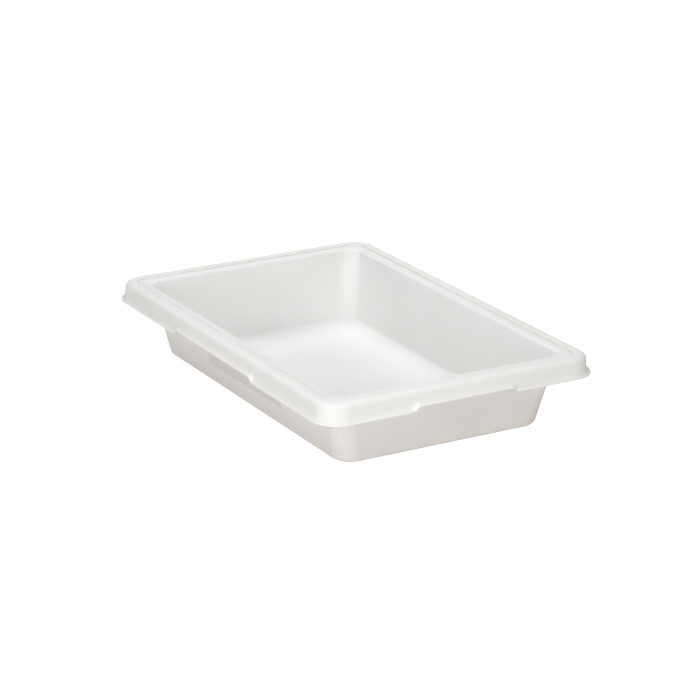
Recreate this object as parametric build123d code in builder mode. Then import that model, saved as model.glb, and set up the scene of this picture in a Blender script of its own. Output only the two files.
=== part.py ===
from build123d import *
import os
from math import cos, radians, tan

# Food box: one moulding with a flat floor, four drafted walls and a channel rim.
# X runs across the box, Y along it, Z up. The origin is under the middle, on the table.
# Every outline is a rounded rectangle, set in from the outer edge of the rim by an inset.

# Overall sizes
BOX_WIDTH = 304.8
BOX_LENGTH = 457.2
BOX_HEIGHT = 76.2

# Walls and floor
WALL = 2.8
DRAFT = 11.5
WALL_INSET = 26.9  # outer face of the walls, where they meet the rim
WALL_CORNER = 17.0  # outer corner radius there
FOOT_CORNER = 20.0  # outer corner radius at the floor
FOOT_RADIUS = 6.0  # outer radius where the walls turn into the floor
FLOOR_MARGIN = 1.0  # flat left outside the floor panel, before that bend

# Grip panel, a shallow recess outside each long wall, under the notch
PANEL_LENGTH = 156.0
PANEL_FOOT = 21.0
PANEL_HEAD_GAP = 3.0
PANEL_DEPTH = 0.8
PANEL_CORNER = 4.0

# Rim, an upside-down channel
RIM_CORNER = 28.5
RIM_WALL = 2.6
SKIRT_HEIGHT = 19.9
SKIRT_INSET = 3.6  # outer face of the skirt at its foot
SKIRT_DRAFT = 4.0
SHOULDER_RADIUS = 5.5
CROWN_WIDTH = 7.0
STEP_WIDTH = 1.0
LEDGE_DROP = 1.2
LEDGE_RADIUS = 4.5  # inner edge, where the ledge turns down into the basin
UNDER_LEDGE_RADIUS = 2.0
COLLAR_HEIGHT = 4.0  # wall height that belongs to the rim, below the underside of the ledge
LAP = 1.0  # how far the parts of one rim rail run into each other

# Lip along the foot of the skirt
LIP_HEIGHT = 2.4
LIP_SLOPE = 3.6
LIP_RADIUS = 1.0

# Finger notches in the skirt, in the middle of each side
SIDE_NOTCH_LENGTH = 156.0
END_NOTCH_LENGTH = 103.0
NOTCH_RISE = 4.5
NOTCH_SLOPE = 6.0

half_width = BOX_WIDTH / 2
half_length = BOX_LENGTH / 2
lean = tan(radians(DRAFT))
wall_across = WALL / cos(radians(DRAFT))  # wall thickness measured level
skirt_foot = BOX_HEIGHT - SKIRT_HEIGHT
skirt_lean = tan(radians(SKIRT_DRAFT))
skirt_top_inset = SKIRT_INSET + SKIRT_HEIGHT * skirt_lean
crown_inset = skirt_top_inset + SHOULDER_RADIUS + CROWN_WIDTH
ledge_outer = crown_inset + STEP_WIDTH
ledge_top = BOX_HEIGHT - LEDGE_DROP
under_ledge = ledge_top - RIM_WALL
join_height = under_ledge - COLLAR_HEIGHT
inner_wall_inset = WALL_INSET + wall_across
ledge_inner = inner_wall_inset - (ledge_top - join_height) * lean
wall_head = WALL_INSET - COLLAR_HEIGHT * lean
ledge_plate_inner = wall_head - UNDER_LEDGE_RADIUS
wall_centre_inset = WALL_INSET + WALL_CORNER
foot_inset = WALL_INSET + join_height * lean
inner_foot_inset = inner_wall_inset + (join_height - WALL) * lean
# The bend from wall to floor ends this far inside the foot of the wall's face.
bend_run = FOOT_RADIUS * tan(radians(90 - DRAFT) / 2)
floor_inset = foot_inset + bend_run + FLOOR_MARGIN
floor_corner = FOOT_CORNER - bend_run - FLOOR_MARGIN


def outline(inset, corner, mode=Mode.ADD):
    # Draws a rounded rectangle in the open sketch.
    RectangleRounded(BOX_WIDTH - 2 * inset, BOX_LENGTH - 2 * inset, corner, mode=mode)


def section(plane, points, rounds):
    # Closed section on a plane across the rim, with the inset as its X and the height as its Y.
    with BuildSketch(plane) as drawn:
        with BuildLine():
            Polyline(*points, close=True)
        make_face()
        for corner, radius in rounds.items():
            fillet(drawn.vertices().sort_by_distance(corner)[0], radius)
    return drawn.sketch


def channel_section(plane, foot):
    # Skirt with its lip, shoulder, crown and the start of the ledge, down to a skirt foot
    lip_top = foot + LIP_HEIGHT
    skirt_start = SKIRT_INSET + (lip_top + LIP_SLOPE - skirt_foot) * skirt_lean
    skirt_back = SKIRT_INSET + RIM_WALL + (foot - skirt_foot) * skirt_lean
    under_crown = BOX_HEIGHT - RIM_WALL
    shoulder = (skirt_top_inset, BOX_HEIGHT)
    points = [
        (0, foot),
        (0, lip_top),
        (skirt_start, lip_top + LIP_SLOPE),
        shoulder,
        (crown_inset, BOX_HEIGHT),
        (ledge_outer, ledge_top),
        (ledge_outer + LAP, ledge_top),
        (ledge_outer + LAP, under_ledge),
        (ledge_outer - STEP_WIDTH, under_ledge),
        (crown_inset - STEP_WIDTH, under_crown),
        (skirt_top_inset + RIM_WALL, under_crown),
        (skirt_back, foot),
    ]
    rounds = {(0, foot): LIP_RADIUS, (0, lip_top): LIP_RADIUS, shoulder: SHOULDER_RADIUS}
    return section(plane, points, rounds)


def collar_section(plane):
    # Inner edge of the ledge, turned down into the head of the wall
    ledge_edge = (ledge_inner, ledge_top)
    inside_bend = (wall_head, under_ledge)
    points = [
        (ledge_plate_inner - LAP, ledge_top),
        ledge_edge,
        (inner_wall_inset, join_height),
        (WALL_INSET, join_height),
        inside_bend,
        (ledge_plate_inner - LAP, under_ledge),
    ]
    return section(plane, points, {ledge_edge: LEDGE_RADIUS, inside_bend: UNDER_LEDGE_RADIUS})


def keep_side(inwards, reach, half_side):
    # Keeps one side of the ring in the open part, up to the middle of its rounded corners.
    along = inwards.cross(Vector(0, 0, 1))
    split(bisect_by=Plane(origin=(0, 0, 0), z_dir=-inwards), keep=Keep.TOP)
    for end in (along, -along):
        corner = end * half_side - inwards * reach
        split(bisect_by=Plane(origin=corner, z_dir=-inwards - end), keep=Keep.TOP)


# Each side of the box: direction inwards, distance from the middle to the rim's outer edge,
# half the side's length, and notch length
sides = {
    "left": (Vector(1, 0, 0), half_width, half_length, SIDE_NOTCH_LENGTH),
    "right": (Vector(-1, 0, 0), half_width, half_length, SIDE_NOTCH_LENGTH),
    "front": (Vector(0, 1, 0), half_length, half_width, END_NOTCH_LENGTH),
    "back": (Vector(0, -1, 0), half_length, half_width, END_NOTCH_LENGTH),
}

pieces = {}

# Floor panel: a flat plate up to the bend of the walls
with BuildPart() as floor_panel:
    with BuildSketch(Plane.XY):
        outline(floor_inset, floor_corner)
    extrude(amount=WALL)
pieces["floor_panel"] = floor_panel.part

# All four walls in one ring, with the bend at their foot and the floor panel left out
with BuildPart() as wall_ring:
    with BuildSketch(Plane.XY):
        outline(foot_inset, FOOT_CORNER)
    with BuildSketch(Plane.XY.offset(join_height)):
        outline(WALL_INSET, WALL_CORNER)
    loft()
    fillet(wall_ring.faces().sort_by(Axis.Z)[0].edges(), FOOT_RADIUS)
    with BuildSketch(Plane.XY.offset(WALL)):
        outline(inner_foot_inset, FOOT_CORNER - wall_across)
    with BuildSketch(Plane.XY.offset(join_height)):
        outline(inner_wall_inset, WALL_CORNER - wall_across)
    loft(mode=Mode.SUBTRACT)
    basin_floor = wall_ring.faces().filter_by(Axis.Z).sort_by(Axis.Z)[1]
    fillet(basin_floor.edges(), FOOT_RADIUS - WALL)
    with BuildSketch(Plane.XY):
        outline(floor_inset, floor_corner)
    extrude(amount=WALL, mode=Mode.SUBTRACT)

# Flat of the ledge, all round, between the crown and the head of the walls
with BuildPart() as ledge_ring:
    with BuildSketch(Plane.XY.offset(under_ledge)):
        outline(ledge_outer, RIM_CORNER - ledge_outer)
        outline(ledge_plate_inner, wall_centre_inset - ledge_plate_inner, Mode.SUBTRACT)
    extrude(amount=RIM_WALL)

for side, (inwards, reach, half_side, notch_length) in sides.items():
    along = inwards.cross(Vector(0, 0, 1))
    outer_edge = -inwards * reach

    # The wall is its side of the ring, with a grip panel if it is a long one
    with BuildPart() as wall:
        add(wall_ring.part)
        keep_side(inwards, reach, half_side)
        if side in ("left", "right"):
            panel_head = join_height - PANEL_HEAD_GAP
            panel_middle = (PANEL_FOOT + panel_head) / 2
            panel_rise = (panel_head - PANEL_FOOT) / cos(radians(DRAFT))
            middle_inset = WALL_INSET + (join_height - panel_middle) * lean
            face_middle = outer_edge + inwards * middle_inset + Vector(0, 0, panel_middle)
            face_out = Vector(0, 0, -lean) - inwards
            with BuildSketch(Plane(origin=face_middle, x_dir=along, z_dir=face_out)):
                RectangleRounded(PANEL_LENGTH, panel_rise, PANEL_CORNER)
            extrude(amount=-PANEL_DEPTH, mode=Mode.SUBTRACT)
    pieces[side + "_wall"] = wall.part

    # The rim rail runs to the middle of its corners. Its channel and its collar turn the
    # corner about different points, because rim and walls have corner radii of their own.
    # One half is made from the middle of the side outwards, and mirrored.
    middle = Plane(origin=outer_edge, x_dir=inwards, z_dir=along)
    slope_start = middle.offset(notch_length / 2)
    slope_end = middle.offset(notch_length / 2 + NOTCH_SLOPE)
    rim_turn = half_side - RIM_CORNER
    wall_turn = half_side - wall_centre_inset
    rim_centre = outer_edge + along * rim_turn + inwards * RIM_CORNER
    wall_centre = outer_edge + along * wall_turn + inwards * wall_centre_inset
    with BuildPart() as rail:
        add(ledge_ring.part)
        keep_side(inwards, reach, half_side)
        notched = channel_section(middle, skirt_foot + NOTCH_RISE)
        extrude(notched, amount=notch_length / 2, dir=along)
        notched_end = channel_section(slope_start, skirt_foot + NOTCH_RISE)
        full = channel_section(slope_end, skirt_foot)
        loft([notched_end, full], ruled=True)
        extrude(full, amount=rim_turn - notch_length / 2 - NOTCH_SLOPE, dir=along)
        full_end = channel_section(middle.offset(rim_turn), skirt_foot)
        revolve(full_end, axis=Axis(rim_centre, (0, 0, 1)), revolution_arc=45)
        extrude(collar_section(middle), amount=wall_turn, dir=along)
        collar_end = collar_section(middle.offset(wall_turn))
        revolve(collar_end, axis=Axis(wall_centre, (0, 0, 1)), revolution_arc=45)
        mirror(about=middle)
    pieces[side + "_rim"] = rail.part

os.makedirs("parts", exist_ok=True)
for name, piece in pieces.items():
    piece.label = name
    export_step(piece, f"parts/{name}.step")
    print(name, len(piece.solids()), round(piece.volume))
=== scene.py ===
import bpy
import bmesh
from math import radians
from mathutils import Matrix, Vector


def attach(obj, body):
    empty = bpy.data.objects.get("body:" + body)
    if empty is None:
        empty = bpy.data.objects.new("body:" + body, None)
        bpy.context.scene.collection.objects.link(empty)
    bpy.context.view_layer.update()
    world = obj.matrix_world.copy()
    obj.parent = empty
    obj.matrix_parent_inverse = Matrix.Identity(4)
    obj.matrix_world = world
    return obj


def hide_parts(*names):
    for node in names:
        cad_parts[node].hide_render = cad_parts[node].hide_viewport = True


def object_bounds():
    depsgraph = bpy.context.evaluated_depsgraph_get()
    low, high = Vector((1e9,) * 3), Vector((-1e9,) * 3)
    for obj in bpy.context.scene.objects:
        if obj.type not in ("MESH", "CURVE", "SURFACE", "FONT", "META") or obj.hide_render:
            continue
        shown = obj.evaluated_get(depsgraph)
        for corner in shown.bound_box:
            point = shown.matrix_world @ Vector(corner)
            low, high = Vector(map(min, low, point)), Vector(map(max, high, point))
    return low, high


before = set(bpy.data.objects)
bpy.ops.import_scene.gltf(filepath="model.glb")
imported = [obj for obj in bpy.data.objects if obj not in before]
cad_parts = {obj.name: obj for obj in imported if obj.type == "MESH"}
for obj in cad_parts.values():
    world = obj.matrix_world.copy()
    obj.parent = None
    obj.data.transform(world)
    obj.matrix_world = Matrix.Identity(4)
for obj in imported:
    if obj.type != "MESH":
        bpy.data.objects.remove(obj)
cadLow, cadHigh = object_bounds()
bpy.ops.object.select_all(action="DESELECT")
mm = 0.001

# Shell: rounded rectangles one inside the other, bridged and rounded
shell = {
    "cornerCuts": 12,  # segments round each of the four corners
    "bevelCuts": 7,
    # one ring for each bend of the section, from the floor inside, over the rim, to the base:
    # inset from the outer edge, height, corner radius, and how far its rounding reaches
    # (neighbours are never at one height, because level rings can bridge with a twist)
    "rings": [
        (43.10, 2.8, 17.1, 2.6),
        (28.41, 75.0, 15.5, 3.68),
        (19.30, 75.1, 9.2, 0.3),
        (18.80, 74.4, 9.7, 0.25),
        (18.20, 74.5, 10.3, 0.25),
        (17.49, 76.1, 11.0, 0.4),
        (4.99, 76.2, 23.5, 5.1),
        (4.05, 61.8, 24.45, 1.0),
        (2.70, 59.5, 25.8, 1.0),
        (0.0, 58.3, 28.5, 0.8),
        (0.0, 56.3, 28.5, 0.7),
        (6.20, 56.4, 22.3, 0.5),
        (7.59, 73.6, 20.9, 1.2),
        (16.49, 73.5, 12.0, 0.3),
        (17.49, 72.5, 11.0, 0.3),
        (26.09, 72.4, 17.8, 1.6),
        (40.82, 0.0, 20.0, 4.9),
    ],
    "sideNotch": 78.0,  # half-length of the notch under the long rims
    "endNotch": 51.5,
    "notchRise": 4.5,
    "skirtPlain": 63.6,  # above this the skirt has no lip
    "notchSlope": 6.0,
    "skirtReach": 9.0,  # everything of the skirt lies this near the outer edge
    "rimReach": 20.0,  # the walls' outer faces start further in than this
    "wallHeights": (10.0, 70.0),  # the middles of the walls' faces lie between these
    "panel": (21.0, 65.4),  # foot and head of the recess in the long walls
    "panelDepth": 0.8,
    "panelEdge": 1.2,
    "panelFaceDepth": 0.3,  # faces further in than this have the panel's texture and painted shade
}
halfWidth = (cadHigh.x - cadLow.x) / 2 / mm
halfLength = (cadHigh.y - cadLow.y) / 2 / mm
widestBevel = max(ring[3] for ring in shell["rings"])
ringSize = 4 * (shell["cornerCuts"] + 1)


def pickVerts(test):
    # Selects the vertices whose place in millimetres passes the test, and nothing else.
    mesh = bmesh.from_edit_mesh(bpy.context.object.data)
    bpy.ops.mesh.select_mode(type="VERT")
    bpy.ops.mesh.select_all(action="DESELECT")
    for vert in mesh.verts:
        vert.select_set(bool(test(vert.co / mm)))
    mesh.select_flush(True)
    bmesh.update_edit_mesh(bpy.context.object.data)


def pickFaces(test):
    mesh = bmesh.from_edit_mesh(bpy.context.object.data)
    bpy.ops.mesh.select_mode(type="FACE")
    bpy.ops.mesh.select_all(action="DESELECT")
    for face in mesh.faces:
        face.select_set(bool(test(face.calc_center_median() / mm, face.normal)))
    bmesh.update_edit_mesh(bpy.context.object.data)


def pickRings(first, last):
    mesh = bmesh.from_edit_mesh(bpy.context.object.data)
    mesh.verts.ensure_lookup_table()
    bpy.ops.mesh.select_mode(type="VERT")
    bpy.ops.mesh.select_all(action="DESELECT")
    for vert in mesh.verts[first * ringSize:(last + 1) * ringSize]:
        vert.select_set(True)
    mesh.select_flush(True)
    bmesh.update_edit_mesh(bpy.context.object.data)


def addRing(inset, height, corner):
    # A plane the size of the ring, with its corners rounded and its face taken away
    bpy.ops.mesh.select_mode(type="VERT")
    bpy.ops.mesh.select_all(action="DESELECT")
    middle = (0, 0, height * mm)
    bpy.ops.mesh.primitive_plane_add(size=1, location=middle)
    scale = (2 * (halfWidth - inset) * mm, 2 * (halfLength - inset) * mm, 1)
    bpy.ops.transform.resize(value=scale, center_override=middle)
    bpy.ops.mesh.bevel(offset=corner * mm, segments=shell["cornerCuts"], affect="VERTICES")
    bpy.ops.mesh.delete(type="ONLY_FACE")


bpy.ops.mesh.primitive_plane_add(size=1)
box = bpy.context.object
box.name = "foodBox"
bpy.ops.object.mode_set(mode="EDIT")
bpy.ops.mesh.select_all(action="SELECT")
bpy.ops.mesh.delete(type="VERT")
for number, ring in enumerate(shell["rings"]):
    addRing(*ring[:3])
    if number:
        pickRings(number - 1, number)
        bpy.ops.mesh.bridge_edge_loops()
for number in (0, len(shell["rings"]) - 1):
    pickRings(number, number)
    bpy.ops.mesh.edge_face_add()
bpy.ops.mesh.select_all(action="SELECT")
bpy.ops.mesh.normals_make_consistent(inside=False)
bpy.ops.object.mode_set(mode="OBJECT")

# Each ring's edges are rounded by the reach it is given, through the weights of one bevel
weights = box.data.attributes.new("bevel_weight_edge", "FLOAT", "EDGE")
for edge in box.data.edges:
    start, end = (number // ringSize for number in edge.vertices)
    if start == end:
        weights.data[edge.index].value = shell["rings"][start][3] / widestBevel
bevel = box.modifiers.new("rounding", "BEVEL")
bevel.limit_method = "WEIGHT"
bevel.width = widestBevel * mm
bevel.segments = shell["bevelCuts"]
bevel.use_clamp_overlap = False
bpy.ops.object.modifier_apply(modifier=bevel.name)
print("rounded shell", len(box.data.polygons), "faces")

# Cuts across the shell, where the ends of the notches slope
slopeCuts = [shell["notchSlope"] * part for part in (-0.15, 0.15, 0.5, 0.85, 1.15)]
sideCuts = [shell["sideNotch"] + cut for cut in slopeCuts]
endCuts = [shell["endNotch"] + cut for cut in slopeCuts]
bpy.ops.object.mode_set(mode="EDIT")
for axis, cuts in (((0, 1, 0), sideCuts), ((1, 0, 0), endCuts)):
    for cut in sorted(sign * cut for cut in cuts for sign in (1, -1)):
        bpy.ops.mesh.select_all(action="SELECT")
        bpy.ops.mesh.bisect(plane_co=Vector(axis) * cut * mm, plane_no=axis)

# Finger notches: the foot of the skirt goes up in four steps, the middle of the side highest
for cuts, along, across, reach in (
    (sideCuts, 1, 0, halfWidth),
    (endCuts, 0, 1, halfLength),
):
    lifted = 0.0
    for limit, share in zip(cuts[3::-1], (0.12, 0.38, 0.38, 0.12)):
        pickVerts(
            lambda co: co.z < shell["skirtPlain"] + lifted
            and abs(co[across]) > reach - shell["skirtReach"]
            and abs(co[along]) < limit + 0.1
        )
        bpy.ops.transform.translate(value=(0, 0, share * shell["notchRise"] * mm))
        lifted += share * shell["notchRise"]

# Grip panels: a shallow recess in the outside of each long wall, under the notch
panelFoot, panelHead = shell["panel"]
lowest, highest = shell["wallHeights"]
for height in (panelFoot, panelHead):
    pickFaces(
        lambda co, normal: lowest < co.z < highest
        and normal.xy.dot(co.xy) > 0
        and min(halfWidth - abs(co.x), halfLength - abs(co.y)) > shell["rimReach"]
    )
    bpy.ops.mesh.bisect(plane_co=(0, 0, height * mm), plane_no=(0, 0, 1))
for side in (1, -1):
    pickFaces(
        lambda co, normal: panelFoot < co.z < panelHead
        and normal.x * side > 0.9
        and 0 < co.x * side < halfWidth - shell["rimReach"]
        and abs(co.y) < sideCuts[1]
    )
    bpy.ops.mesh.inset(thickness=shell["panelEdge"] * mm, depth=-shell["panelDepth"] * mm)
bpy.ops.object.mode_set(mode="OBJECT")
print("notches and grip panels", len(box.data.polygons), "faces")

bpy.ops.object.shade_smooth()
evenShade = box.modifiers.new("evenShade", "WEIGHTED_NORMAL")
evenShade.keep_sharp = True
bpy.ops.object.modifier_apply(modifier=evenShade.name)
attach(box, "root")
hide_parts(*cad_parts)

# Plastic: natural polyethylene, milky and satin
plastic = {
    "colour": (0.865, 0.866, 0.853, 1),
    "cloudColour": (0.835, 0.838, 0.822, 1),
    "wearAndHighlightColour": (0.90, 0.90, 0.89, 1),  # scuffs, and worn edges that also carry a painted highlight
    # painted shade in creases and hollows
    "creaseShadeColour": (0.42, 0.39, 0.34, 1),
    "cloudScale": 9.0,
    "cloudSpan": (0.3, 0.7),
    "cloudDull": 0.08,
    "scuffScale": 90.0,
    "scuffShare": 0.05,
    "wearAndHighlightShare": 0.6,
    "wearDull": 0.15,
    "wearRadius": 0.0010,
    "creaseReach": 0.004,
    "creaseShadeShare": 0.7,
    "grainHeight": 0.0001,
    "depth": 0.35,  # how much of the light goes into the plastic
    "reach": 0.0012,
    "shine": 0.35,
    # the panel is duller and finer in grain, and a little darker as painted shade
    "finishes": {
        "naturalPolyethylene": {"gloss": 0.56, "grainScale": 1400.0, "grain": 0.25, "shade": 1.0},
        "finePanelTextureAndShade": {"gloss": 0.66, "grainScale": 2600.0, "grain": 0.5, "shade": 0.88},
    },
}


def makeGroup(name, inputs, outputs):
    # Inputs and outputs are pairs of a name and a socket kind.
    group = bpy.data.node_groups.new(name, "ShaderNodeTree")
    for label, kind in inputs:
        group.interface.new_socket(label, in_out="INPUT", socket_type="NodeSocket" + kind)
    for label, kind in outputs:
        group.interface.new_socket(label, in_out="OUTPUT", socket_type="NodeSocket" + kind)
    nodes = group.nodes
    return group, nodes.new("NodeGroupInput"), nodes.new("NodeGroupOutput")


def addNode(tree, kind, **settings):
    node = tree.nodes.new("ShaderNode" + kind)
    for key, value in settings.items():
        setattr(node, key, value)
    return node


def addMath(tree, operation, first, second):
    node = addNode(tree, "Math", operation=operation)
    for socket, value in zip(node.inputs, (first, second)):
        if isinstance(value, (int, float)):
            socket.default_value = value
        else:
            tree.links.new(value, socket)
    return node.outputs[0]


def addRange(tree, value, low, high):
    # Turns a value between low and high into one from 0 to 1, softly.
    node = addNode(tree, "MapRange", interpolation_type="SMOOTHSTEP")
    node.inputs["From Min"].default_value = low
    node.inputs["From Max"].default_value = high
    tree.links.new(value, node.inputs["Value"])
    return node.outputs["Result"]


# Moulded grain: the fine spark texture that steel leaves on plastic, over a slow ripple
grain, grainIn, grainOut = makeGroup(
    "mouldGrain", [("Place", "Vector"), ("Scale", "Float")], [("Height", "Float")]
)
fine = addNode(grain, "TexNoise")
fine.inputs["Detail"].default_value = 2
ripple = addNode(grain, "TexNoise")
ripple.inputs["Scale"].default_value = 26
grain.links.new(grainIn.outputs["Place"], fine.inputs["Vector"])
grain.links.new(grainIn.outputs["Scale"], fine.inputs["Scale"])
grain.links.new(grainIn.outputs["Place"], ripple.inputs["Vector"])
slowPart = addMath(grain, "MULTIPLY", ripple.outputs[0], 3.0)
grain.links.new(addMath(grain, "ADD", fine.outputs[0], slowPart), grainOut.inputs["Height"])

# Scuffs: sparse fine scratches in two directions
scuff, scuffIn, scuffOut = makeGroup(
    "lightScuffs", [("Place", "Vector"), ("Scale", "Float")], [("Mask", "Float")]
)
strokes = []
for angle, squeeze in ((35, 0.10), (-62, 0.14)):
    turnPlace = addNode(scuff, "Mapping")
    turnPlace.inputs["Rotation"].default_value = (0.3, 0.2, radians(angle))
    turnPlace.inputs["Scale"].default_value = (squeeze, 1, 0.4)
    cells = addNode(scuff, "TexVoronoi", feature="DISTANCE_TO_EDGE")
    scuff.links.new(scuffIn.outputs["Place"], turnPlace.inputs["Vector"])
    scuff.links.new(turnPlace.outputs[0], cells.inputs["Vector"])
    scuff.links.new(scuffIn.outputs["Scale"], cells.inputs["Scale"])
    strokes.append(addMath(scuff, "SUBTRACT", 1, addRange(scuff, cells.outputs[0], 0.0, 0.035)))
patches = addNode(scuff, "TexNoise")
patches.inputs["Scale"].default_value = 14
scuff.links.new(scuffIn.outputs["Place"], patches.inputs["Vector"])
sparse = addRange(scuff, patches.outputs[0], 0.52, 0.68)
both = addMath(scuff, "MAXIMUM", strokes[0], strokes[1])
scuff.links.new(addMath(scuff, "MULTIPLY", both, sparse), scuffOut.inputs["Mask"])

# Worn edges, lightened also as a painted highlight: where the rounded normal leaves the true one
edge, edgeIn, edgeOut = makeGroup("wornEdgesAndHighlight", [("Radius", "Float")], [("Mask", "Float")])
softNormal = addNode(edge, "Bevel", samples=4)
trueNormal = addNode(edge, "NewGeometry")
facing = addNode(edge, "VectorMath", operation="DOT_PRODUCT")
edge.links.new(edgeIn.outputs["Radius"], softNormal.inputs["Radius"])
edge.links.new(softNormal.outputs[0], facing.inputs[0])
edge.links.new(trueNormal.outputs["Normal"], facing.inputs[1])
away = addMath(edge, "SUBTRACT", 1, facing.outputs["Value"])
edge.links.new(addRange(edge, away, 0.01, 0.12), edgeOut.inputs["Mask"])

# Creases: painted shade where the surface closes in on itself and less light gets in
crease, creaseIn, creaseOut = makeGroup("paintedCreaseShade", [("Reach", "Float")], [("Mask", "Float")])
closeness = addNode(crease, "AmbientOcclusion", samples=6, only_local=True)
crease.links.new(creaseIn.outputs["Reach"], closeness.inputs["Distance"])
closed = addMath(crease, "SUBTRACT", 1, closeness.outputs["AO"])
crease.links.new(addRange(crease, closed, 0.12, 0.75), creaseOut.inputs["Mask"])


def placeGroup(tree, group, **values):
    node = tree.nodes.new("ShaderNodeGroup")
    node.node_tree = group
    for label, value in values.items():
        if isinstance(value, (int, float)):
            node.inputs[label].default_value = value
        else:
            tree.links.new(value, node.inputs[label])
    return node.outputs[0]


def milkyPolyethylene(name, finish):
    material = bpy.data.materials.new(name)
    material.use_nodes = True
    tree = material.node_tree
    shader = tree.nodes["Principled BSDF"]
    place = addNode(tree, "TexCoord").outputs["Object"]

    # Milky clouds, then paler scuffs and worn edges with a painted highlight, then painted shade in
    # the creases
    clouds = addNode(tree, "TexNoise")
    clouds.inputs["Scale"].default_value = plastic["cloudScale"]
    clouds.inputs["Detail"].default_value = 4
    tree.links.new(place, clouds.inputs["Vector"])
    milk = addNode(tree, "Mix", data_type="RGBA")
    cloudMask = addRange(tree, clouds.outputs[0], *plastic["cloudSpan"])
    tree.links.new(cloudMask, milk.inputs["Factor"])
    # a shade below 1 darkens the finish; on the panel this is painted shade
    milk.inputs["A"].default_value = [finish["shade"] * part for part in plastic["colour"]]
    milk.inputs["B"].default_value = [finish["shade"] * part for part in plastic["cloudColour"]]

    scuffs = placeGroup(tree, scuff, Place=place, Scale=plastic["scuffScale"])
    edgeWearAndHighlight = placeGroup(tree, edge, Radius=plastic["wearRadius"])
    faintScuffs = addMath(tree, "MULTIPLY", scuffs, plastic["scuffShare"])
    scuffsAndEdgeHighlight = addMath(tree, "MAXIMUM", faintScuffs, edgeWearAndHighlight)
    # painted highlight: the edges are lightened towards the pale colour along with the real scuffs
    pale = addNode(tree, "Mix", data_type="RGBA")
    tree.links.new(addMath(tree, "MULTIPLY", scuffsAndEdgeHighlight, plastic["wearAndHighlightShare"]), pale.inputs["Factor"])
    tree.links.new(milk.outputs["Result"], pale.inputs["A"])
    pale.inputs["B"].default_value = plastic["wearAndHighlightColour"]

    # painted shade: the colour darkens towards the crease colour in the creases
    creases = placeGroup(tree, crease, Reach=plastic["creaseReach"])
    creaseShaded = addNode(tree, "Mix", data_type="RGBA")
    tree.links.new(addMath(tree, "MULTIPLY", creases, plastic["creaseShadeShare"]), creaseShaded.inputs["Factor"])
    tree.links.new(pale.outputs["Result"], creaseShaded.inputs["A"])
    creaseShaded.inputs["B"].default_value = plastic["creaseShadeColour"]
    tree.links.new(creaseShaded.outputs["Result"], shader.inputs["Base Color"])

    # Satin, duller where it is worn
    dull = addMath(tree, "MULTIPLY", scuffsAndEdgeHighlight, plastic["wearDull"])
    uneven = addMath(tree, "MULTIPLY", clouds.outputs[0], plastic["cloudDull"])
    rough = addMath(tree, "ADD", addMath(tree, "ADD", dull, uneven), finish["gloss"])
    tree.links.new(rough, shader.inputs["Roughness"])

    height = placeGroup(tree, grain, Place=place, Scale=finish["grainScale"])
    bump = addNode(tree, "Bump")
    bump.inputs["Strength"].default_value = finish["grain"]
    bump.inputs["Distance"].default_value = plastic["grainHeight"]
    tree.links.new(height, bump.inputs["Height"])
    tree.links.new(bump.outputs[0], shader.inputs["Normal"])

    shader.inputs["IOR"].default_value = 1.5
    shader.inputs["Specular IOR Level"].default_value = plastic["shine"]
    shader.inputs["Subsurface Weight"].default_value = plastic["depth"]
    shader.inputs["Subsurface Radius"].default_value = (1, 0.95, 0.85)
    shader.inputs["Subsurface Scale"].default_value = plastic["reach"]
    return material


box.data.materials.clear()
for name, finish in plastic["finishes"].items():
    box.data.materials.append(milkyPolyethylene(name, finish))

# The panel's texture and painted shade go on the faces that lie further in than the plain wall does
headInset, headHeight = shell["rings"][-2][:2]
footInset, footHeight = shell["rings"][-1][:2]
wallLean = (footInset - headInset) / (headHeight - footHeight)
for face in box.data.polygons:
    middle = face.center / mm
    wallInset = headInset + (headHeight - middle.z) * wallLean
    face.material_index = int(
        abs(middle.y) < sideCuts[1] - 1
        and panelFoot + 1 < middle.z < panelHead - 1
        and abs(face.normal.x) > 0.9
        and face.normal.x * middle.x > 0
        and halfWidth - abs(middle.x) > wallInset + shell["panelFaceDepth"]
    )
print("plastic", sum(face.material_index for face in box.data.polygons), "panel faces")

# Studio: a white floor, large soft lights and the camera
studio = {
    "floorSize": 14.0,
    "cameraAt": (-1.23650, -2.17474, 0.90936),
    "turn": -29.70,
    "tilt": 19.18,
    "roll": 0.065,
    "lens": 135.52,
    "horizon": 1.0,  # white behind the floor's edge, for the eye only
    "floorGlow": 0.22,
    "glowColour": (1, 0.74, 0.67, 1),
    "floorWhite": 1.1,  # extra white of the floor, for the eye only
    # large soft lights: place, size, power, colour
    "lights": {
        "left": ((-2.4, -0.2, 1.0), 1.6, 8.0, (1, 0.93, 0.93)),
        "right": ((2.4, -0.4, 1.0), 1.6, 5.0, (1, 0.80, 0.68)),
        "nearSide": ((-2.4, -0.9, 0.5), 1.6, 21.0, (0.94, 1, 0.98)),
        "nearEnd": ((-0.3, -2.5, 0.5), 1.6, 19.5, (0.96, 1, 0.98)),
        "overNear": ((-0.5, -0.9, 1.2), 0.8, 7.6, (1, 1, 0.98)),
        "overFar": ((0.4, 0.8, 1.2), 0.8, 8.0, (0.98, 1, 0.98)),
        "overhead": ((0.1, 0.1, 1.8), 1.8, 11.2, (0.98, 0.98, 1)),
    },
}
bpy.ops.object.select_all(action="DESELECT")
bpy.ops.mesh.primitive_plane_add(size=studio["floorSize"])
floor = bpy.context.object
floor.name = "studioFloor"
paper = bpy.data.materials.new("whitePaper")
paper.use_nodes = True
paperShader = paper.node_tree.nodes["Principled BSDF"]
paperShader.inputs["Base Color"].default_value = (0.6, 0.6, 0.6, 1)
paperShader.inputs["Roughness"].default_value = 0.9
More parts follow.
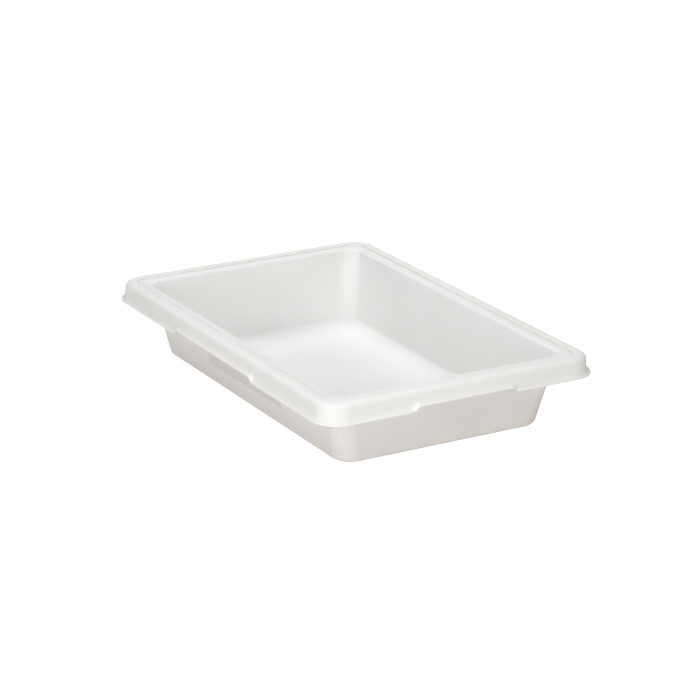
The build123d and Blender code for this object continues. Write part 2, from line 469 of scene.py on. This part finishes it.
sight = addNode(paper.node_tree, "LightPath").outputs["Is Camera Ray"]
seenWhite = addNode(paper.node_tree, "Mix", data_type="RGBA")
seenWhite.inputs["A"].default_value = studio["glowColour"]
seenWhite.inputs["B"].default_value = (1, 1, 1, 1)
paper.node_tree.links.new(sight, seenWhite.inputs["Factor"])
paper.node_tree.links.new(seenWhite.outputs["Result"], paperShader.inputs["Emission Color"])
extraWhite = addMath(paper.node_tree, "MULTIPLY", sight, studio["floorWhite"])
glow = addMath(paper.node_tree, "ADD", extraWhite, studio["floorGlow"])
paper.node_tree.links.new(glow, paperShader.inputs["Emission Strength"])
floor.data.materials.append(paper)

world = bpy.data.worlds.new("softRoom")
bpy.context.scene.world = world
world.use_nodes = True
world.node_tree.nodes["Background"].inputs["Color"].default_value = (1, 1, 1, 1)
horizonSight = addNode(world.node_tree, "LightPath").outputs["Is Camera Ray"]
horizonWhite = addMath(world.node_tree, "MULTIPLY", horizonSight, studio["horizon"])
world.node_tree.links.new(horizonWhite, world.node_tree.nodes["Background"].inputs["Strength"])
for name, (place, size, power, colour) in studio["lights"].items():
    lamp = bpy.data.objects.new(name, bpy.data.lights.new(name, "AREA"))
    bpy.context.collection.objects.link(lamp)
    lamp.data.shape = "DISK"
    lamp.data.size = size
    lamp.data.energy = power
    lamp.data.color = colour
    lamp.location = place
    lamp.rotation_euler = (-Vector(place)).to_track_quat("-Z", "Y").to_euler()
bpy.context.scene.view_settings.view_transform = "Standard"
print("studio", len(studio["lights"]), "lights")

camera = bpy.data.objects.new("camera", bpy.data.cameras.new("camera"))
bpy.context.collection.objects.link(camera)
camera.data.lens = studio["lens"]
camera.data.sensor_width = 36
camera.location = studio["cameraAt"]
turned = Matrix.Rotation(radians(studio["turn"]), 4, "Z")
tilted = Matrix.Rotation(radians(90 - studio["tilt"]), 4, "X")
rolled = Matrix.Rotation(radians(studio["roll"]), 4, "Z")
camera.rotation_euler = (turned @ tilted @ rolled).to_euler()
bpy.context.scene.camera = camera
